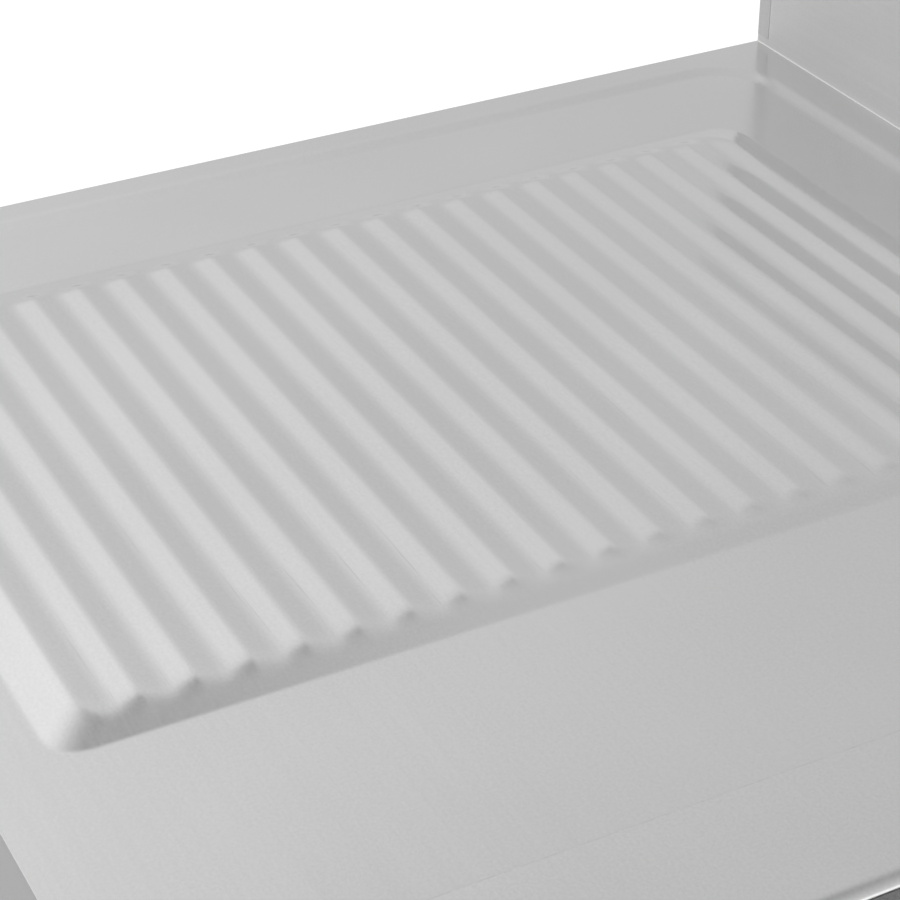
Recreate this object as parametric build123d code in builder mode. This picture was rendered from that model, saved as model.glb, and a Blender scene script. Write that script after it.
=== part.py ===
"""A free-standing stainless catering sink unit, in millimetres.

One bowl on the right, a pressed ribbed drainer on the left, a splashback along the back, four
square legs with screw-down feet, a shelf between the legs, and a waste with a lift-out standpipe.
The origin is on the floor under the middle of the unit, +X to the right, +Y to the wall, +Z up.
"""

import os
from math import atan2, cos, degrees, sin, tan

from build123d import *

# Overall sizes
unit_length = 1200.0
unit_depth = 600.0
worktop_height = 900.0
sheet = 1.2

# Worktop: rim, recess, aprons and splashback
apron_height = 40.0
apron_return = 12.0
front_edge_radius = 2.5
rim_end_width = 15.0
rim_back_width = 20.0
recess_depth = 1.0
step_run = 10.0
recess_corner_radius = 36.0
splashback_height = 100.0
splashback_depth = 15.0
splashback_foot_radius = 3.0
splashback_top_radius = 2.0
end_cap_width = 10.0

# Drainer: a raised pad pressed with ribs that run towards the bowl
pad_left_margin = 83.0
pad_front_margin = 28.5
pad_crest_length = 293.0
pad_slope_run = 16.0
pad_rise = 3.4
pad_base_radius = 13.0
pad_crest_radius = 2.0
rib_count = 22
rib_pitch = 21.5
rib_depth = 1.1
rib_valley_width = 3.0
rib_crest_radius = 7.0
rib_valley_radius = 6.0

# Bowl: a pressed tub with a flange that is welded into the worktop
bowl_length = 500.0
bowl_depth = 250.0
bowl_right_margin = 107.5
bowl_front_margin = 75.0
bowl_back_margin = 125.0
bowl_width = unit_depth - bowl_front_margin - bowl_back_margin
bowl_corner_radius = 50.0
bowl_bottom_radius = 35.0
bowl_lip_radius = 8.0
flange_left_width = 64.0
flange_width = 25.0
flange_corner_radius = 30.0
weld_gap = 0.05

# Sound-deadening pad under the bowl
sound_pad_length = 260.0
sound_pad_width = 180.0
sound_pad_thickness = 3.0
sound_pad_corner_radius = 6.0
sound_pad_left_margin = 60.0

# Tap hole and its stiffening plate
tap_hole_diameter = 35.0
tap_hole_behind_bowl = 51.0
tap_plate_length = 70.0
tap_plate_width = 48.0
tap_plate_thickness = 3.0
tap_plate_corner_radius = 4.0

# Hat channels under the worktop and the shelf
channel_height = 25.0
channel_crown_width = 26.0
channel_flange_width = 10.0
channel_end_gap = 0.5
middle_channel_gap = 39.0

# Legs, sockets and set screws
leg_width = 40.0
leg_wall = 1.5
leg_corner_radius = 4.0
leg_inset = 55.0
socket_plate_width = 80.0
socket_plate_thickness = 3.0
socket_wall = 2.0
socket_height = 60.0
socket_clearance = 0.2
set_screw_diameter = 8.0
set_screw_clearance = 0.1
set_screw_boss_diameter = 17.0
set_screw_boss_height = 6.0
set_screw_stand_off = 1.5
set_screw_key_width = 4.0
set_screw_key_depth = 4.0

# Feet: a threaded insert in each leg and a screw-down foot
foot_body_height = 46.0
foot_base_diameter = 28.0
foot_body_diameter = 36.0
foot_neck_diameter = 24.0
foot_base_bevel = 6.0
foot_barrel_height = 28.0
foot_hex_height = 10.0
foot_gap = 14.0
foot_stud_diameter = 10.0
foot_stud_length = 48.0
foot_stud_bevel = 1.0
foot_stud_clearance = 0.05
insert_flange_thickness = 4.0
insert_plug_height = 25.0
insert_clearance = 0.2

# Shelf and its bolts
shelf_height = 200.0
shelf_apron = 35.0
shelf_return = 12.0
shelf_leg_clearance = 0.2
bolt_diameter = 6.0
bolt_clearance = 0.1
bolt_head_diameter = 10.0
bolt_head_height = 4.0
bolt_length = 12.0
bolt_key_width = 5.0
bolt_key_depth = 2.5

# Waste, in a round recess of the bowl's floor
waste_from_right = 95.0
waste_from_back = 95.0
waste_recess_diameter = 96.0
waste_recess_depth = 4.0
waste_hole_diameter = 52.0
waste_flange_diameter = 93.0
waste_tail_diameter = 47.8
waste_bore_diameter = 36.0
waste_tail_length = 58.0
waste_free_length = 32.0
waste_relief_width = 4.0
waste_relief_depth = 0.7
gasket_thickness = 1.5
gasket_diameter = 88.0
washer_thickness = 3.0
washer_diameter = 80.0
thread_clearance = 0.1
locknut_thickness = 10.0
locknut_diameter = 72.0
locknut_lug_count = 8
locknut_lug_width = 8.0
locknut_lug_height = 4.0
seat_mouth_diameter = 44.0
seat_throat_diameter = 40.0
seat_depth = 9.0
strainer_ledge_depth = 12.0
strainer_thickness = 1.5
strainer_clearance = 0.1
strainer_hole_diameter = 5.0
strainer_inner_ring = 7.5
strainer_inner_count = 6
strainer_outer_ring = 15.0
strainer_outer_count = 12

# Standpipe: bung, tube and cap
bung_clearance = 0.3
bung_collar_diameter = 48.0
bung_collar_height = 16.0
bung_collar_gap = 1.0
bung_socket_floor = 3.0
standpipe_diameter = 38.0
standpipe_wall = 1.2
standpipe_height = 215.0
standpipe_fit = 0.1
cap_diameter = 46.0
cap_height = 24.0
cap_skirt = 8.0
cap_wall = 2.0
cap_window_count = 6
cap_window_width = 12.0
cap_window_height = 14.0

# Places that follow from the sizes
half_length = unit_length / 2
front_y = -unit_depth / 2
back_y = unit_depth / 2
splash_y = back_y - splashback_depth
rim_z = worktop_height
floor_z = rim_z - recess_depth
deck_under_z = floor_z - sheet
apron_bottom_z = rim_z - apron_height
splash_top_z = rim_z + splashback_height
cap_bottom_z = rim_z + splashback_foot_radius + sheet

pad_crest_depth = rib_pitch * (rib_count - 1)
pad_base_length = pad_crest_length + 2 * pad_slope_run
pad_base_depth = pad_crest_depth + 2 * pad_slope_run
pad_left_x = -half_length + pad_left_margin
pad_x = pad_left_x + pad_base_length / 2
pad_y = front_y + pad_front_margin + pad_base_depth / 2

bowl_x = half_length - bowl_right_margin - bowl_length / 2
bowl_y = front_y + bowl_front_margin + bowl_width / 2
bowl_left_x = bowl_x - bowl_length / 2
bowl_right_x = bowl_x + bowl_length / 2
bowl_back_y = bowl_y + bowl_width / 2
bowl_floor_z = floor_z - bowl_depth
bowl_under_z = bowl_floor_z - sheet
flange_left_x = bowl_left_x - flange_left_width
flange_length = flange_left_width + bowl_length + flange_width
flange_depth = bowl_width + 2 * flange_width
flange_x = flange_left_x + flange_length / 2
tap_y = bowl_back_y + tap_hole_behind_bowl

channel_half_width = channel_crown_width / 2 + channel_flange_width
channel_under_z = deck_under_z - channel_height
channel_front_y = front_y + sheet + channel_end_gap
channel_back_y = splash_y - rim_back_width - step_run - channel_end_gap
middle_channel_x = flange_left_x - middle_channel_gap - channel_half_width

leg_x = half_length - leg_inset
leg_y = unit_depth / 2 - leg_inset
leg_corners = {
    "front_left": (-leg_x, -leg_y),
    "front_right": (leg_x, -leg_y),
    "rear_left": (-leg_x, leg_y),
    "rear_right": (leg_x, leg_y),
}
leg_top_z = channel_under_z - socket_plate_thickness
insert_bottom_z = foot_body_height + foot_gap
leg_bottom_z = insert_bottom_z + insert_flange_thickness
leg_bore_width = leg_width - 2 * leg_wall
insert_plug_width = leg_bore_width - 2 * insert_clearance
socket_bore_width = leg_width + 2 * socket_clearance
socket_outer_width = socket_bore_width + 2 * socket_wall
set_screw_z = leg_top_z - socket_height / 2
set_screw_length = socket_outer_width / 2 + set_screw_boss_height + set_screw_stand_off - leg_width / 2

shelf_half_length = leg_x + leg_width / 2
shelf_half_depth = leg_y + leg_width / 2
shelf_notch = leg_width + shelf_leg_clearance
shelf_wall_x = shelf_half_length - shelf_notch - sheet
shelf_under_z = shelf_height - sheet
shelf_bottom_z = shelf_height - shelf_apron
shelf_bolt_z = shelf_height - shelf_apron / 2
shelf_channel_length = 2 * (shelf_half_length - shelf_return - sheet)

waste_x = bowl_right_x - waste_from_right
waste_y = bowl_back_y - waste_from_back
waste_axis = Axis((waste_x, waste_y, 0), (0, 0, 1))
recess_floor_z = bowl_floor_z - waste_recess_depth
recess_under_z = recess_floor_z - sheet
waste_flange_under_z = recess_floor_z + gasket_thickness
waste_bottom_z = waste_flange_under_z - waste_tail_length
waste_free_top_z = waste_bottom_z + waste_free_length
waste_relief_top_z = waste_free_top_z + waste_relief_width
washer_under_z = recess_under_z - washer_thickness
locknut_under_z = washer_under_z - locknut_thickness
seat_bottom_z = bowl_floor_z - seat_depth
strainer_z = bowl_floor_z - strainer_ledge_depth
tail_radius = waste_tail_diameter / 2
bore_radius = waste_bore_diameter / 2
throat_radius = seat_throat_diameter / 2
mouth_radius = seat_mouth_diameter / 2
collar_z = bowl_floor_z + bung_collar_gap
collar_top_z = collar_z + bung_collar_height
pipe_bottom_z = collar_z + bung_socket_floor
pipe_top_z = pipe_bottom_z + standpipe_height
pipe_radius = standpipe_diameter / 2
pipe_bore_radius = pipe_radius - standpipe_wall

os.makedirs("parts", exist_ok=True)


def save(part, name):
    """Labels one finished piece and writes its file."""
    part.label = name
    export_step(part, f"parts/{name}.step")


def rectangle_between(x0, x1, y0, y1):
    """A rectangle between two corners, in the open sketch."""
    with Locations(((x0 + x1) / 2, (y0 + y1) / 2)):
        Rectangle(x1 - x0, y1 - y0)


def upright_section(x, y, z=0.0):
    """A plane that stands on (x, y) and faces the front, with X to its right and Z up it."""
    return Plane((x, y, z), x_dir=(1, 0, 0), z_dir=(0, -1, 0))


def turned(points):
    """A solid turned about the waste's upright axis from (radius, height) points."""
    with BuildPart() as body:
        with BuildSketch(upright_section(waste_x, waste_y)):
            with BuildLine():
                Polyline(*points, close=True)
            make_face()
        revolve(axis=waste_axis)
    return body.part


def valley_section():
    """The open space over one valley, from rib to rib, with the crests at height 0.

    The flanks are straight. Small arcs round the ribs and the two edges of the valley's floor.
    """
    half_valley = rib_valley_width / 2
    slope = atan2(rib_depth, rib_pitch / 2 - half_valley)
    crest_drop = rib_crest_radius * (1 / cos(slope) - 1)
    valley_cut = rib_valley_radius * tan(slope / 2)
    flank_foot = (-half_valley - valley_cut * cos(slope), -rib_depth + valley_cut * sin(slope))
    left = -rib_pitch / 2
    with BuildSketch() as section:
        with BuildLine():
            crest_arc = JernArc((left, -crest_drop), (1, 0), rib_crest_radius, -degrees(slope))
            Line(crest_arc @ 1, flank_foot)
            valley_arc = JernArc(flank_foot, (cos(slope), -sin(slope)), rib_valley_radius, degrees(slope))
            Polyline(valley_arc @ 1, (0, -rib_depth), (0, pad_rise), (left, pad_rise), crest_arc @ 0)
        make_face()
        mirror(about=Plane.YZ)
    return section.sketch


def pressed_form(lowered, bottom_z):
    """All that lies under the worktop's pressed surface, lowered and drawn in by the same amount."""
    top_z = rim_z - lowered
    low_z = top_z - recess_depth
    crest_z = low_z + pad_rise
    with BuildPart() as form:
        with BuildSketch(Plane.XY.offset(bottom_z)):
            Rectangle(unit_length - 2 * lowered, unit_depth - 2 * lowered)
        extrude(amount=top_z - bottom_z)
        fillet(form.faces().sort_by(Axis.Z)[-1].edges().sort_by(Axis.Y)[0], front_edge_radius - lowered)
        # The recess: open at the front edge, with a gentle step along the ends and the back
        for height, run in ((top_z, 0.0), (low_z, step_run)):
            with BuildSketch(Plane.XY.offset(height)) as outline:
                side_x = half_length - rim_end_width - run
                rectangle_between(-side_x, side_x, front_y - step_run, splash_y - rim_back_width - run)
                fillet(outline.vertices().group_by(Axis.Y)[-1], recess_corner_radius - run)
        loft(ruled=True, mode=Mode.SUBTRACT)
        # The drainer pad, raised from the floor of the recess
        for height, reach, radius in ((low_z, pad_slope_run, pad_base_radius), (crest_z, 0.0, pad_crest_radius)):
            with BuildSketch(Plane.XY.offset(height)):
                with Locations((pad_x, pad_y)):
                    RectangleRounded(pad_crest_length + 2 * reach, pad_crest_depth + 2 * reach, radius)
        loft(ruled=True)
        # The valleys between the ribs, which run out through the pad's end slopes
        with BuildSketch(Plane((pad_left_x, pad_y, crest_z), x_dir=(0, 1, 0), z_dir=(1, 0, 0))):
            with GridLocations(rib_pitch, 0, rib_count - 1, 1):
                add(valley_section())
        extrude(amount=pad_base_length, mode=Mode.SUBTRACT)
    return form.part


def folded_box(drawn_in, bottom_z):
    """The worktop's pressed form with the splashback standing on its back edge."""
    foot_y = splash_y + drawn_in
    foot_z = rim_z - drawn_in
    with BuildPart() as box:
        add(pressed_form(drawn_in, bottom_z))
        with BuildSketch(Plane.XY.offset(bottom_z)):
            rectangle_between(-half_length + drawn_in, half_length - drawn_in, foot_y, back_y - drawn_in)
        extrude(amount=splash_top_z - drawn_in - bottom_z)
        bends = box.edges().filter_by(Axis.X).group_by(Axis.Z)
        fillet(bends[-1], splashback_top_radius - drawn_in)
        foot = [edge for edge in box.edges().filter_by(Axis.X)
                if abs(edge.center().Y - foot_y) < weld_gap and abs(edge.center().Z - foot_z) < weld_gap]
        fillet(foot, splashback_foot_radius + drawn_in)
    return box.part


# Worktop: one sheet, pressed, then folded down at the front and the ends and up at the back
with BuildPart() as worktop:
    add(folded_box(0.0, apron_bottom_z))
    add(folded_box(sheet, apron_bottom_z + sheet), mode=Mode.SUBTRACT)
    with BuildSketch(Plane.XY.offset(apron_bottom_z)):
        Rectangle(unit_length - 2 * apron_return, unit_depth - 2 * apron_return)
    extrude(amount=sheet, mode=Mode.SUBTRACT)
    # The cut-out that the bowl's flange fills, and the tap hole behind it
    with BuildSketch(Plane.XY.offset(rim_z)):
        with Locations((flange_x, bowl_y)):
            RectangleRounded(flange_length, flange_depth, flange_corner_radius)
        with Locations((bowl_x, tap_y)):
            Circle(tap_hole_diameter / 2)
    extrude(amount=-(recess_depth + 2 * sheet), mode=Mode.SUBTRACT)
    # The splashback's ends stay open for their caps
    with BuildSketch(Plane.XY.offset(cap_bottom_z)):
        for side in (-1, 1):
            with Locations((side * (half_length - end_cap_width / 2), (splash_y + back_y) / 2)):
                Rectangle(end_cap_width, splashback_depth)
    extrude(amount=splash_top_z - cap_bottom_z, mode=Mode.SUBTRACT)
save(worktop.part, "worktop")

# Splashback end caps: folded cups welded on to its open ends
for side, name in ((-1, "splashback_cap_left"), (1, "splashback_cap_right")):
    with BuildPart() as end_cap:
        with BuildSketch(Plane.XY.offset(cap_bottom_z + weld_gap)):
            with Locations((side * (half_length - (end_cap_width - weld_gap) / 2), (splash_y + back_y) / 2)):
                Rectangle(end_cap_width - weld_gap, splashback_depth)
        extrude(amount=splash_top_z - cap_bottom_z - weld_gap)
        fillet(end_cap.edges().filter_by(Axis.X).group_by(Axis.Z)[-1], splashback_top_radius)
        mouths = [end_cap.faces().sort_by(Axis.X)[0 if side > 0 else -1], end_cap.faces().sort_by(Axis.Z)[0]]
        offset(amount=-sheet, openings=mouths)
    save(end_cap.part, name)


def tub(wall, depth):
    """The bowl's space, or its outside when a wall is added: straight sides and a rounded bottom."""
    with BuildPart() as shape:
        with BuildSketch(Plane.XY.offset(floor_z)):
            with Locations((bowl_x, bowl_y)):
                RectangleRounded(bowl_length + 2 * wall, bowl_width + 2 * wall, bowl_corner_radius + wall)
        extrude(amount=-depth)
        fillet(shape.faces().sort_by(Axis.Z)[0].edges(), bowl_bottom_radius + wall)
    return shape.part


# Bowl: a pressed tub whose flange fills the worktop's cut-out
with BuildPart() as bowl:
    add(tub(sheet, bowl_depth + sheet))
    with BuildSketch(Plane.XY.offset(deck_under_z)):
        with Locations((flange_x, bowl_y)):
            RectangleRounded(
                flange_length - 2 * weld_gap, flange_depth - 2 * weld_gap, flange_corner_radius - weld_gap
            )
    extrude(amount=sheet)
    flange_under = [face for face in bowl.faces().filter_by(Axis.Z) if abs(face.center().Z - deck_under_z) < weld_gap]
    fillet(flange_under[0].inner_wires()[0].edges(), bowl_lip_radius - sheet)
    add(tub(0.0, bowl_depth), mode=Mode.SUBTRACT)
    fillet(bowl.faces().filter_by(Axis.Z).sort_by(Axis.Z)[-1].inner_wires()[0].edges(), bowl_lip_radius)
    # The round recess that the waste's flange lies in, and the hole for its tail
    with BuildSketch(Plane.XY.offset(recess_under_z)):
        with Locations((waste_x, waste_y)):
            Circle(waste_recess_diameter / 2 + sheet)
    extrude(amount=waste_recess_depth)
    with BuildSketch(Plane.XY.offset(recess_floor_z)):
        with Locations((waste_x, waste_y)):
            Circle(waste_recess_diameter / 2)
    extrude(amount=waste_recess_depth, mode=Mode.SUBTRACT)
    with BuildSketch(Plane.XY.offset(recess_under_z)):
        with Locations((waste_x, waste_y)):
            Circle(waste_hole_diameter / 2)
    extrude(amount=sheet, mode=Mode.SUBTRACT)
save(bowl.part, "bowl")

# Sound-deadening pad stuck under the bowl
with BuildPart() as sound_pad:
    with BuildSketch(Plane.XY.offset(bowl_under_z)):
        with Locations((bowl_left_x + sound_pad_left_margin + sound_pad_length / 2, bowl_y)):
            RectangleRounded(sound_pad_length, sound_pad_width, sound_pad_corner_radius)
    extrude(amount=-sound_pad_thickness)
save(sound_pad.part, "bowl_sound_pad")

# Plate that stiffens the worktop round the tap hole
with BuildPart() as tap_plate:
    with BuildSketch(Plane.XY.offset(deck_under_z)):
        with Locations((bowl_x, tap_y)):
            RectangleRounded(tap_plate_length, tap_plate_width, tap_plate_corner_radius)
            Circle(tap_hole_diameter / 2, mode=Mode.SUBTRACT)
    extrude(amount=-tap_plate_thickness)
save(tap_plate.part, "tap_plate")


def hat_channel(plane, run):
    """A hat channel that hangs by its two flanges, drawn along the plane's normal."""
    crown = channel_crown_width / 2
    with BuildPart() as channel:
        with BuildSketch(plane):
            with Locations((0, -sheet / 2)):
                Rectangle(2 * channel_half_width, sheet)
            with Locations((0, -channel_height / 2)):
                Rectangle(2 * crown, channel_height)
            with Locations((0, -(channel_height - sheet) / 2)):
                Rectangle(2 * (crown - sheet), channel_height - sheet, mode=Mode.SUBTRACT)
        extrude(amount=run)
    return channel.part


# Hat channels spot-welded under the worktop, front to back
for name, x in (("channel_left", -leg_x), ("channel_middle", middle_channel_x), ("channel_right", leg_x)):
    save(hat_channel(upright_section(x, channel_back_y, deck_under_z), channel_back_y - channel_front_y), name)

# Legs, the sockets that hold their heads, the inserts in their ends, and the feet
for corner, (x, y) in leg_corners.items():
    inward = 1 if x < 0 else -1
    with BuildPart() as leg:
        with BuildSketch(Plane.XY.offset(leg_bottom_z)):
            with Locations((x, y)):
                RectangleRounded(leg_width, leg_width, leg_corner_radius)
                RectangleRounded(leg_bore_width, leg_bore_width, leg_corner_radius - leg_wall, mode=Mode.SUBTRACT)
        extrude(amount=leg_top_z - leg_bottom_z)
        with BuildSketch(Plane.YZ.offset(x)):
            with Locations((y, shelf_bolt_z)):
                Circle(bolt_diameter / 2 + bolt_clearance)
        extrude(amount=inward * leg_width, mode=Mode.SUBTRACT)
    save(leg.part, f"leg_{corner}")

    with BuildPart() as socket:
        with BuildSketch(Plane.XY.offset(leg_top_z)):
            with Locations((x, y)):
                RectangleRounded(socket_plate_width, socket_plate_width, leg_corner_radius)
        extrude(amount=socket_plate_thickness)
        with BuildSketch(Plane.XY.offset(leg_top_z)):
            with Locations((x, y)):
                outer_radius = leg_corner_radius + socket_clearance + socket_wall
                RectangleRounded(socket_outer_width, socket_outer_width, outer_radius)
        extrude(amount=-socket_height)
        with BuildSketch(Plane.YZ.offset(x)):
            with Locations((y, set_screw_z)):
                Circle(set_screw_boss_diameter / 2)
        extrude(amount=inward * (socket_outer_width / 2 + set_screw_boss_height))
        with BuildSketch(Plane.XY.offset(leg_top_z)):
            with Locations((x, y)):
                RectangleRounded(socket_bore_width, socket_bore_width, leg_corner_radius + socket_clearance)
        extrude(amount=-socket_height, mode=Mode.SUBTRACT)
        with BuildSketch(Plane.YZ.offset(x)):
            with Locations((y, set_screw_z)):
                Circle(set_screw_diameter / 2 + set_screw_clearance)
        extrude(amount=inward * socket_outer_width, mode=Mode.SUBTRACT)
    save(socket.part, f"leg_socket_{corner}")

    with BuildPart() as insert:
        with BuildSketch(Plane.XY.offset(insert_bottom_z)):
            with Locations((x, y)):
                RectangleRounded(leg_width, leg_width, leg_corner_radius)
        extrude(amount=insert_flange_thickness)
        with BuildSketch(Plane.XY.offset(leg_bottom_z)):
            with Locations((x, y)):
                RectangleRounded(insert_plug_width, insert_plug_width, leg_corner_radius - leg_wall)
        extrude(amount=insert_plug_height)
        with BuildSketch(Plane.XY.offset(insert_bottom_z)):
            with Locations((x, y)):
                Circle(foot_stud_diameter / 2 + foot_stud_clearance)
        extrude(amount=insert_flange_thickness + insert_plug_height, mode=Mode.SUBTRACT)
    save(insert.part, f"foot_insert_{corner}")

    hex_bottom_z = foot_body_height - foot_hex_height
    with BuildPart() as foot:
        with BuildSketch(upright_section(x, y)):
            with BuildLine():
                Polyline(
                    (0, 0),
                    (foot_base_diameter / 2, 0),
                    (foot_body_diameter / 2, foot_base_bevel),
                    (foot_body_diameter / 2, foot_barrel_height),
                    (foot_neck_diameter / 2, hex_bottom_z),
                    (foot_stud_diameter / 2, hex_bottom_z),
                    (foot_stud_diameter / 2, foot_body_height + foot_stud_length),
                    (0, foot_body_height + foot_stud_length),
                    close=True,
                )
            make_face()
        revolve(axis=Axis((x, y, 0), (0, 0, 1)))
        with BuildSketch(Plane.XY.offset(hex_bottom_z)):
            with Locations((x, y)):
                RegularPolygon(foot_neck_diameter / 2, 6)
        extrude(amount=foot_hex_height)
        chamfer(foot.faces().sort_by(Axis.Z)[-1].edges(), foot_stud_bevel)
    save(foot.part, f"foot_{corner}")

# Set screws that clamp the legs in their sockets
with BuildPart() as set_screws:
    for x, y in leg_corners.values():
        inward = 1 if x < 0 else -1
        tip_x = x + inward * leg_width / 2
        with BuildSketch(Plane.YZ.offset(tip_x)):
            with Locations((y, set_screw_z)):
                Circle(set_screw_diameter / 2)
        extrude(amount=inward * set_screw_length)
        with BuildSketch(Plane.YZ.offset(tip_x + inward * set_screw_length)):
            with Locations((y, set_screw_z)):
                RegularPolygon(set_screw_key_width / 2, 6)
        extrude(amount=-inward * set_screw_key_depth, mode=Mode.SUBTRACT)
save(set_screws.part, "leg_set_screws")


def shelf_section(z, inset):
    """The shelf's outline at a height: a rectangle notched at its corners round the legs."""
    with BuildSketch(Plane.XY.offset(z)) as section:
        length = 2 * (shelf_half_length - inset)
        depth = 2 * (shelf_half_depth - inset)
        Rectangle(length, depth)
        with GridLocations(length, depth, 2, 2):
            Rectangle(2 * shelf_notch, 2 * shelf_notch, mode=Mode.SUBTRACT)
    return section.sketch


# Shelf: a folded tray, open below, bolted to the legs through the walls of its notches
with BuildPart() as shelf:
    extrude(shelf_section(shelf_bottom_z, 0.0), amount=shelf_apron)
    extrude(shelf_section(shelf_bottom_z, shelf_return), amount=sheet, mode=Mode.SUBTRACT)
    extrude(shelf_section(shelf_bottom_z + sheet, sheet), amount=shelf_apron - 2 * sheet, mode=Mode.SUBTRACT)
    for x, y in leg_corners.values():
        inward = 1 if x < 0 else -1
        with BuildSketch(Plane.YZ.offset(x)):
            with Locations((y, shelf_bolt_z)):
                Circle(bolt_diameter / 2 + bolt_clearance)
        extrude(amount=inward * leg_width, mode=Mode.SUBTRACT)
save(shelf.part, "shelf")

# Hat channel along the middle of the shelf
shelf_along = Plane((-shelf_channel_length / 2, 0, shelf_under_z), x_dir=(0, 1, 0), z_dir=(1, 0, 0))
save(hat_channel(shelf_along, shelf_channel_length), "shelf_channel")

# Bolts that hold the shelf to the legs
with BuildPart() as shelf_bolts:
    for x, y in leg_corners.values():
        inward = 1 if x < 0 else -1
        head_x = -inward * shelf_wall_x
        with BuildSketch(Plane.YZ.offset(head_x)):
            with Locations((y, shelf_bolt_z)):
                Circle(bolt_head_diameter / 2)
        extrude(amount=inward * bolt_head_height)
        with BuildSketch(Plane.YZ.offset(head_x)):
            with Locations((y, shelf_bolt_z)):
                Circle(bolt_diameter / 2)
        extrude(amount=-inward * bolt_length)
        with BuildSketch(Plane.YZ.offset(head_x + inward * bolt_head_height)):
            with Locations((y, shelf_bolt_z)):
                RegularPolygon(bolt_key_width / 2, 6)
        extrude(amount=-inward * bolt_key_depth, mode=Mode.SUBTRACT)
save(shelf_bolts.part, "shelf_bolts")

# Waste: a flanged body through the bowl, with a tapered seat, a strainer's ledge and a threaded tail
waste_body = turned([
    (bore_radius, waste_bottom_z),
    (tail_radius, waste_bottom_z),
    (tail_radius, waste_free_top_z),
    (tail_radius - waste_relief_depth, waste_free_top_z),
    (tail_radius - waste_relief_depth, waste_relief_top_z),
    (tail_radius, waste_relief_top_z),
    (tail_radius, waste_flange_under_z),
    (waste_flange_diameter / 2, waste_flange_under_z),
    (waste_flange_diameter / 2, bowl_floor_z),
    (mouth_radius, bowl_floor_z),
    (throat_radius, seat_bottom_z),
    (throat_radius, strainer_z),
    (bore_radius, strainer_z),
])
save(waste_body, "waste_body")

# Gasket above the bowl's floor, washer below it, and the nut that draws the waste down
gasket = turned([
    (waste_hole_diameter / 2, recess_floor_z),
    (gasket_diameter / 2, recess_floor_z),
    (gasket_diameter / 2, waste_flange_under_z),
    (waste_hole_diameter / 2, waste_flange_under_z),
])
save(gasket, "waste_gasket")

washer = turned([
    (tail_radius + thread_clearance, washer_under_z),
    (washer_diameter / 2, washer_under_z),
    (washer_diameter / 2, recess_under_z),
    (tail_radius + thread_clearance, recess_under_z),
])
save(washer, "waste_washer")

with BuildPart() as locknut:
    with BuildSketch(Plane.XY.offset(locknut_under_z)):
        with Locations((waste_x, waste_y)):
            Circle(locknut_diameter / 2)
            with PolarLocations(locknut_diameter / 2, locknut_lug_count):
                Rectangle(2 * locknut_lug_height, locknut_lug_width)
            Circle(tail_radius + thread_clearance, mode=Mode.SUBTRACT)
    extrude(amount=locknut_thickness)
save(locknut.part, "waste_locknut")

# Strainer plate on the ledge below the seat
with BuildPart() as strainer:
    with BuildSketch(Plane.XY.offset(strainer_z)):
        with Locations((waste_x, waste_y)):
            Circle(throat_radius - strainer_clearance)
            Circle(strainer_hole_diameter / 2, mode=Mode.SUBTRACT)
            with PolarLocations(strainer_inner_ring, strainer_inner_count):
                Circle(strainer_hole_diameter / 2, mode=Mode.SUBTRACT)
            with PolarLocations(strainer_outer_ring, strainer_outer_count):
                Circle(strainer_hole_diameter / 2, mode=Mode.SUBTRACT)
    extrude(amount=strainer_thickness)
save(strainer.part, "waste_strainer")

# Standpipe: a rubber bung that seats in the waste, the overflow tube, and its slotted cap
bung = turned([
    (pipe_bore_radius, seat_bottom_z),
    (throat_radius - bung_clearance, seat_bottom_z),
    (mouth_radius - bung_clearance, bowl_floor_z),
    (mouth_radius - bung_clearance, collar_z),
    (bung_collar_diameter / 2, collar_z),
    (bung_collar_diameter / 2, collar_top_z),
    (pipe_radius + standpipe_fit, collar_top_z),
    (pipe_radius + standpipe_fit, pipe_bottom_z),
    (pipe_bore_radius, pipe_bottom_z),
])
save(bung, "standpipe_bung")

tube = turned([
    (pipe_bore_radius, pipe_bottom_z),
    (pipe_radius, pipe_bottom_z),
    (pipe_radius, pipe_top_z),
    (pipe_bore_radius, pipe_top_z),
])
save(tube, "standpipe_tube")

cap_radius = cap_diameter / 2
with BuildPart() as pipe_cap:
    add(turned([
        (pipe_radius + standpipe_fit, pipe_top_z - cap_skirt),
        (cap_radius, pipe_top_z - cap_skirt),
        (cap_radius, pipe_top_z + cap_height - cap_wall),
        (cap_radius - cap_wall, pipe_top_z + cap_height),
        (0, pipe_top_z + cap_height),
        (0, pipe_top_z + cap_height - cap_wall),
        (cap_radius - 2 * cap_wall, pipe_top_z + cap_height - cap_wall),
        (cap_radius - 2 * cap_wall, pipe_top_z + cap_wall),
        (pipe_bore_radius, pipe_top_z + cap_wall),
        (pipe_bore_radius, pipe_top_z),
        (pipe_radius + standpipe_fit, pipe_top_z),
    ]))
    with BuildSketch(Plane.XY.offset(pipe_top_z + 2 * cap_wall)):
        with Locations((waste_x, waste_y)):
            with PolarLocations(cap_radius, cap_window_count):
                Rectangle(cap_radius, cap_window_width)
    extrude(amount=cap_window_height, mode=Mode.SUBTRACT)
save(pipe_cap.part, "standpipe_cap")
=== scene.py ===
import math

import bmesh
import bpy
import numpy as np
from mathutils import Matrix, Vector


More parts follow.
